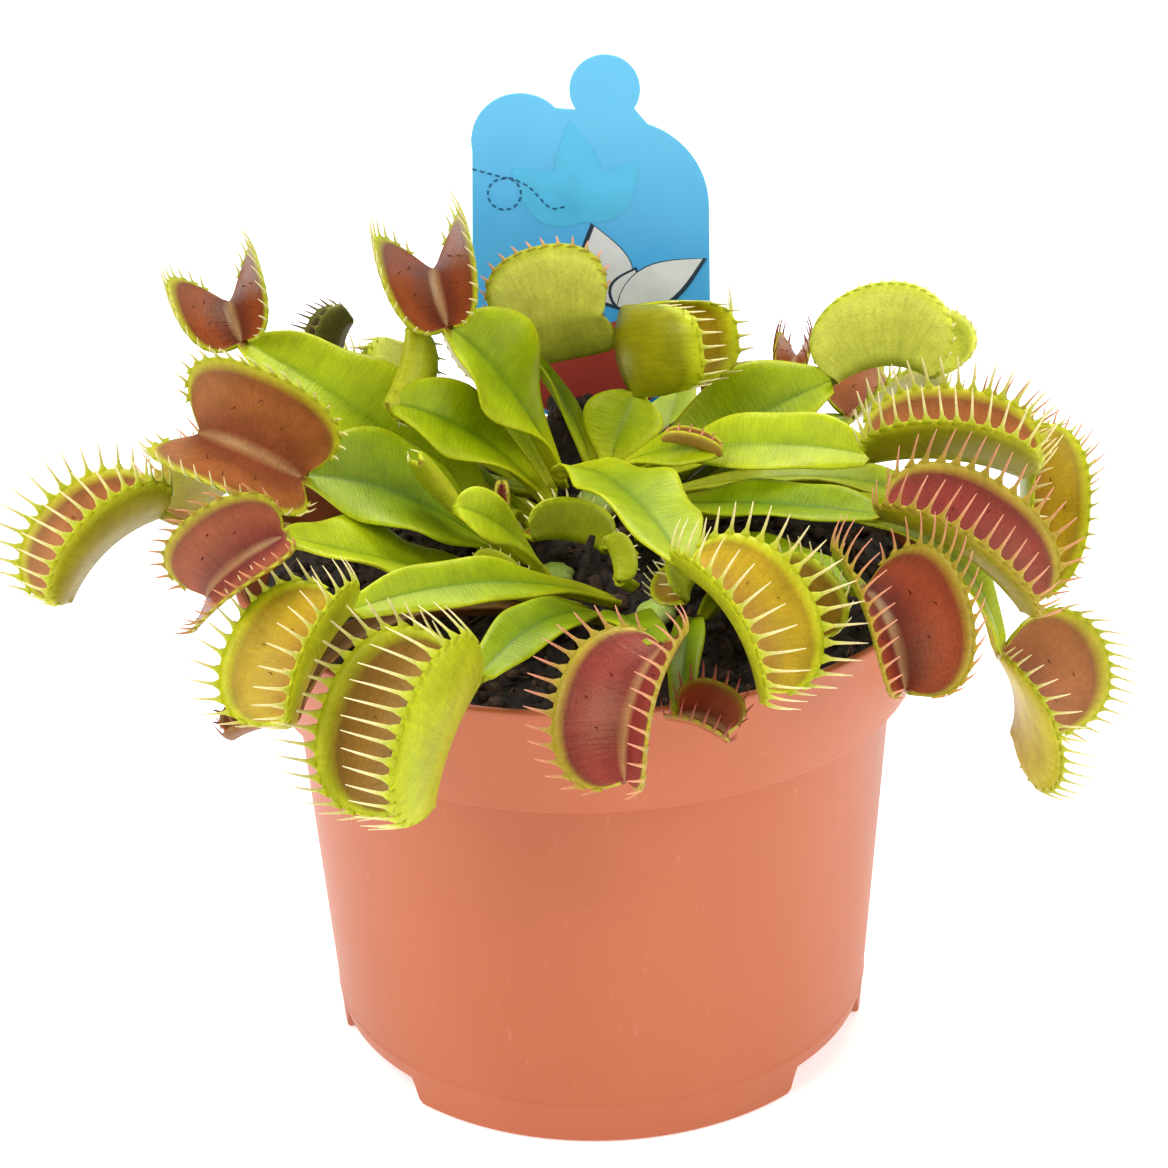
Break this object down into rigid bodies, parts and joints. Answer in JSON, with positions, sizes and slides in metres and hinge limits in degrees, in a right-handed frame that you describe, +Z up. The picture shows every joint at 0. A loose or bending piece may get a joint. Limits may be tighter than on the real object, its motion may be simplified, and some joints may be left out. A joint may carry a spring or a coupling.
{
  "type": "potted venus flytrap",
  "caption": "Venus flytrap with many toothed snap traps spreading from peat in a round flowerpot with a deep collar, and a flat plant label at the back.",
  "frame": {"origin": "on the pot's axis, at the level of its feet", "axes": "+Z up; the plant label stands at the back, +Y; +X is the plant's right seen from the front"},
  "size_m": [0.1375, 0.1328, 0.1199],
  "materials": {
    "terracotta_plastic": "satin",
    "peat": "rough, damp",
    "label_plastic": "satin, slightly translucent",
    "crown_stem": "waxy",
    "leaf_green": "satin leaf",
    "leaf_red": "satin leaf",
    "dead_stalk": "dry"
  },
  "bodies": {
    "root": {"crown_back": "crown_stem", "crown_front": "crown_stem", "crown_left": "crown_stem", "dead_stalk": "dead_stalk", "dead_stub": "dead_stalk", "leaf_back_brown": "leaf_green", "leaf_back_closed": "leaf_green", "leaf_back_left": "leaf_green", "leaf_back_open": "leaf_green", "leaf_back_right": "leaf_green", "leaf_back_turned": "leaf_green", "leaf_bud_left": "leaf_green", "leaf_bud_right": "leaf_green", "leaf_centre_dark": "leaf_green", "leaf_far_left": "leaf_green", "leaf_front_big": "leaf_green", "leaf_front_dark": "leaf_green", "leaf_front_green": "leaf_green", "leaf_front_left": "leaf_green", "leaf_front_old": "leaf_green", "leaf_front_red": "leaf_red", "leaf_front_small": "leaf_red", "leaf_left_dark": "leaf_green", "leaf_left_folded": "leaf_green", "leaf_left_large": "leaf_green", "leaf_left_purple": "leaf_green", "leaf_left_red": "leaf_red", "leaf_left_young": "leaf_green", "leaf_rear_left": "leaf_green", "leaf_rear_left_low": "leaf_green", "leaf_rear_middle_left": "leaf_green", "leaf_rear_middle_right": "leaf_green", "leaf_rear_right": "leaf_green", "leaf_rear_right_low": "leaf_green", "leaf_right_crimson": "leaf_red", "leaf_right_hanging": "leaf_green", "leaf_right_high": "leaf_green", "leaf_right_olive": "leaf_green", "leaf_right_pale": "leaf_green", "leaf_right_red": "leaf_red", "leaf_spoon": "leaf_green", "leaf_tiny_centre": "leaf_green", "leaf_tiny_left": "leaf_green", "leaf_tiny_right": "leaf_green", "leaf_upper_left": "leaf_green", "leaf_young_right": "leaf_green", "peat": "peat", "plant_label": "label_plastic", "pot": "terracotta_plastic"}
  },
  "joints": []
}
